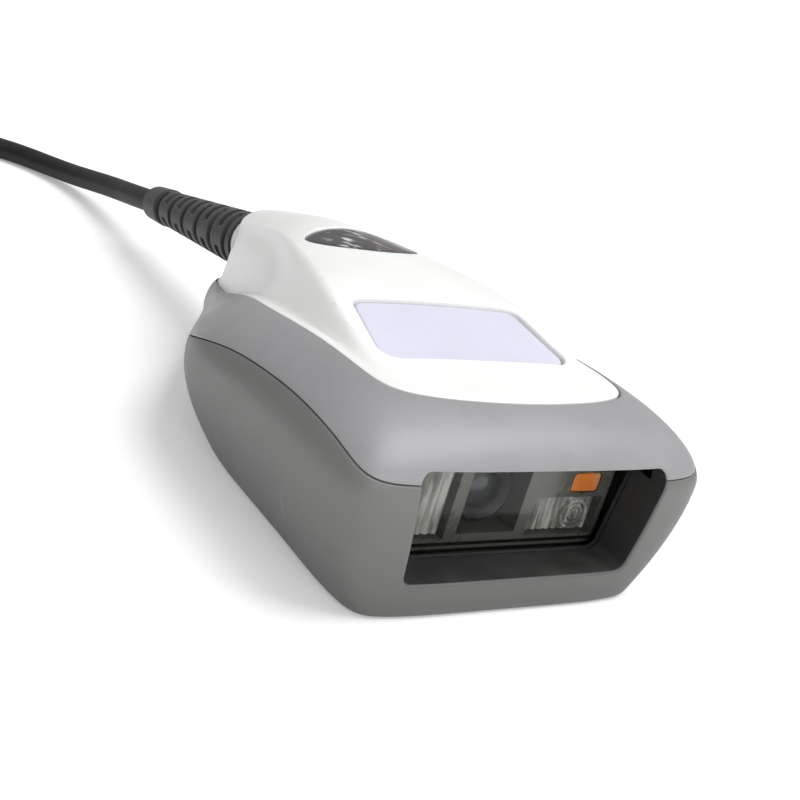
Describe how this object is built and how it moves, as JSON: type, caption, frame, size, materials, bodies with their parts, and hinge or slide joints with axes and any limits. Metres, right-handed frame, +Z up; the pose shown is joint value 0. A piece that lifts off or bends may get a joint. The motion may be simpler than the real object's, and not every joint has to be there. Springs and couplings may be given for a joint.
{
  "type": "handheld barcode scanner",
  "caption": "Palm-size corded handheld barcode scanner with a nose window, thumb trigger, indicator lens, ribbed strain relief and coiled cord with a plug.",
  "frame": {"origin": "centre of the flat base, on the surface that the scanner rests on", "axes": "+Z up out of the top cover, -Y out of the scan window, +Y towards the cord, X across the scanner"},
  "size_m": [0.1298, 0.2, 0.0325],
  "materials": {
    "grey_housing": "fine satin texture",
    "light_grey_housing": "fine satin texture",
    "white_cover": "satin gloss",
    "lavender_button": "satin",
    "silicone": "moulded",
    "black_plastic": "matt",
    "amber_plastic": "moulded",
    "smoked_lens": "polished",
    "clear_plastic": "polished",
    "cream_plastic": "moulded",
    "rubber_seal": "matt",
    "clear_window": "polished",
    "circuit_board": "solder mask",
    "led_package": "moulded",
    "orange_lens": "polished",
    "lens_glass": "coated",
    "chip_black": "moulded",
    "screw_steel": "zinc plated",
    "flex_ribbon": "polyimide film",
    "strain_relief_rubber": "matt",
    "cord_jacket": "satin",
    "plug_plastic": "satin",
    "plug_steel": "nickel plated",
    "plug_insulator": "moulded",
    "label_film": "film"
  },
  "bodies": {
    "trigger": {"trigger_button": "lavender_button"},
    "plunger": {"switch_plunger": "amber_plastic"},
    "housing": {"aiming_led": "orange_lens", "beeper": "black_plastic", "board_screw_1": "screw_steel", "board_screw_2": "screw_steel", "board_screw_3": "screw_steel", "board_screw_4": "screw_steel", "bracket_screw_1": "screw_steel", "bracket_screw_2": "screw_steel", "cord": "cord_jacket", "cord_coil": "cord_jacket", "cord_plug_housing": "cream_plastic", "cord_socket": "cream_plastic", "cord_tail": "cord_jacket", "housing_screw_1": "screw_steel", "housing_screw_2": "screw_steel", "housing_screw_3": "screw_steel", "housing_screw_4": "screw_steel", "illumination_board": "circuit_board", "illumination_led_1": "led_package", "illumination_led_2": "led_package", "illumination_led_3": "led_package", "illumination_led_4": "led_package", "illumination_lens_1": "clear_plastic", "illumination_lens_2": "clear_plastic", "image_sensor": "chip_black", "imager_board": "circuit_board", "imager_holder": "black_plastic", "imager_lens": "lens_glass", "imager_ribbon": "flex_ribbon", "indicator_led": "cream_plastic", "indicator_lens": "smoked_lens", "indicator_light_pipe": "clear_plastic", "inner_lead": "cord_jacket", "key_board": "circuit_board", "key_board_screw_1": "screw_steel", "key_board_screw_2": "screw_steel", "key_ribbon": "flex_ribbon", "lens_barrel": "black_plastic", "lower_housing": "grey_housing", "main_board": "circuit_board", "memory_chip_1": "chip_black", "memory_chip_2": "chip_black", "optics_bracket": "black_plastic", "plug_overmould": "plug_plastic", "plug_shell": "plug_steel", "plug_tongue": "plug_insulator", "rating_label": "label_film", "return_pad": "silicone", "ribbon_socket_1": "cream_plastic", "ribbon_socket_2": "cream_plastic", "scan_window": "clear_window", "shield_can": "screw_steel", "strain_relief": "strain_relief_rubber", "tact_switch": "black_plastic", "top_cover": "white_cover", "upper_housing": "light_grey_housing", "window_seal": "rubber_seal"}
  },
  "joints": [
    {"name": "trigger_press", "type": "slide", "parent": "housing", "child": "trigger", "axis": [0, 0, -1], "range_m": [0, 0.0007], "stiffness_N_per_m": 1500, "springref_m": -0.0003, "deforming": ["return_pad"]},
    {"name": "plunger_press", "type": "slide", "parent": "housing", "child": "plunger", "axis": [0, 0, -1], "range_m": [0, 0.0007]}
  ],
  "couplings": [
    {"joint": "plunger_press", "follows": "trigger_press", "ratio": 1}
  ]
}
